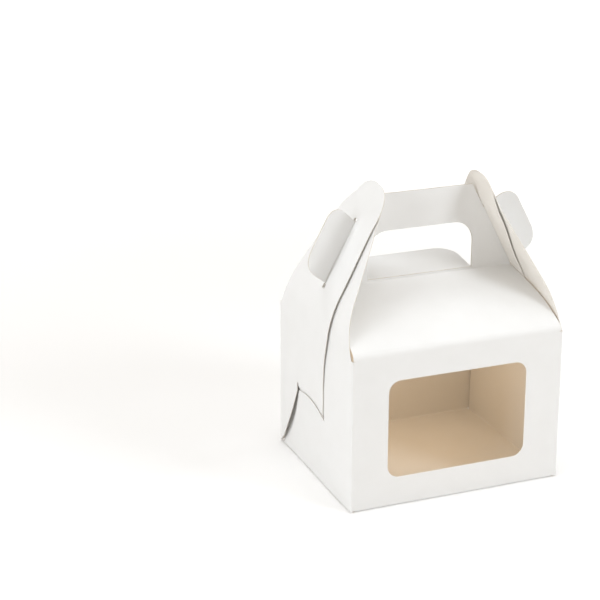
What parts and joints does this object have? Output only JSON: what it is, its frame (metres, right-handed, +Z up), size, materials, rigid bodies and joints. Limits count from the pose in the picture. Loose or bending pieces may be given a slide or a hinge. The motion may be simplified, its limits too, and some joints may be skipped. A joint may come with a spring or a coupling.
{
  "type": "dessert carton with handle",
  "caption": "Folding dessert carton with a film window, a carrying handle with a hand hole, and leaning hooked end flaps held by bent lock tabs.",
  "frame": {"origin": "under the middle of the base, on the surface that the box stands on", "axes": "+X to the right along the front, +Y from the window wall to the back, +Z up"},
  "size_m": [0.1624, 0.124, 0.2019],
  "materials": {
    "board": "matte",
    "film": "gloss"
  },
  "bodies": {
    "carton": {"carton": "board", "window_film": "film"},
    "front_lock_tab_left": {"front_lock_tab_left": "board"},
    "back_lock_tab_left": {"back_lock_tab_left": "board"},
    "front_lock_tab_right": {"front_lock_tab_right": "board"},
    "back_lock_tab_right": {"back_lock_tab_right": "board"},
    "front_hand_hole_flap": {"front_hand_hole_flap": "board"},
    "back_hand_hole_flap": {"back_hand_hole_flap": "board"}
  },
  "joints": [
    {"name": "front_lock_tab_left_fold", "type": "hinge", "parent": "carton", "child": "front_lock_tab_left", "pos_m": [-0.06863, -0.0004, 0.13741], "axis": [0.4648, 0, 0.8854], "range_deg": [0, 68]},
    {"name": "back_lock_tab_left_fold", "type": "hinge", "parent": "carton", "child": "back_lock_tab_left", "pos_m": [-0.06863, 0.0004, 0.13741], "axis": [0.4648, 0, 0.8854], "range_deg": [-92, 0]},
    {"name": "front_lock_tab_right_fold", "type": "hinge", "parent": "carton", "child": "front_lock_tab_right", "pos_m": [0.06863, -0.0004, 0.13741], "axis": [-0.4648, 0, 0.8854], "range_deg": [-61, 0]},
    {"name": "back_lock_tab_right_fold", "type": "hinge", "parent": "carton", "child": "back_lock_tab_right", "pos_m": [0.06863, 0.0004, 0.13741], "axis": [-0.4648, 0, 0.8854], "range_deg": [0, 99]},
    {"name": "front_hand_hole_flap_fold", "type": "hinge", "parent": "carton", "child": "front_hand_hole_flap", "pos_m": [0, -0.0004, 0.1351], "axis": [1, 0, 0], "range_deg": [0, 82]},
    {"name": "back_hand_hole_flap_fold", "type": "hinge", "parent": "carton", "child": "back_hand_hole_flap", "pos_m": [0, 0.0004, 0.1341], "axis": [1, 0, 0], "range_deg": [-15, 0]}
  ]
}
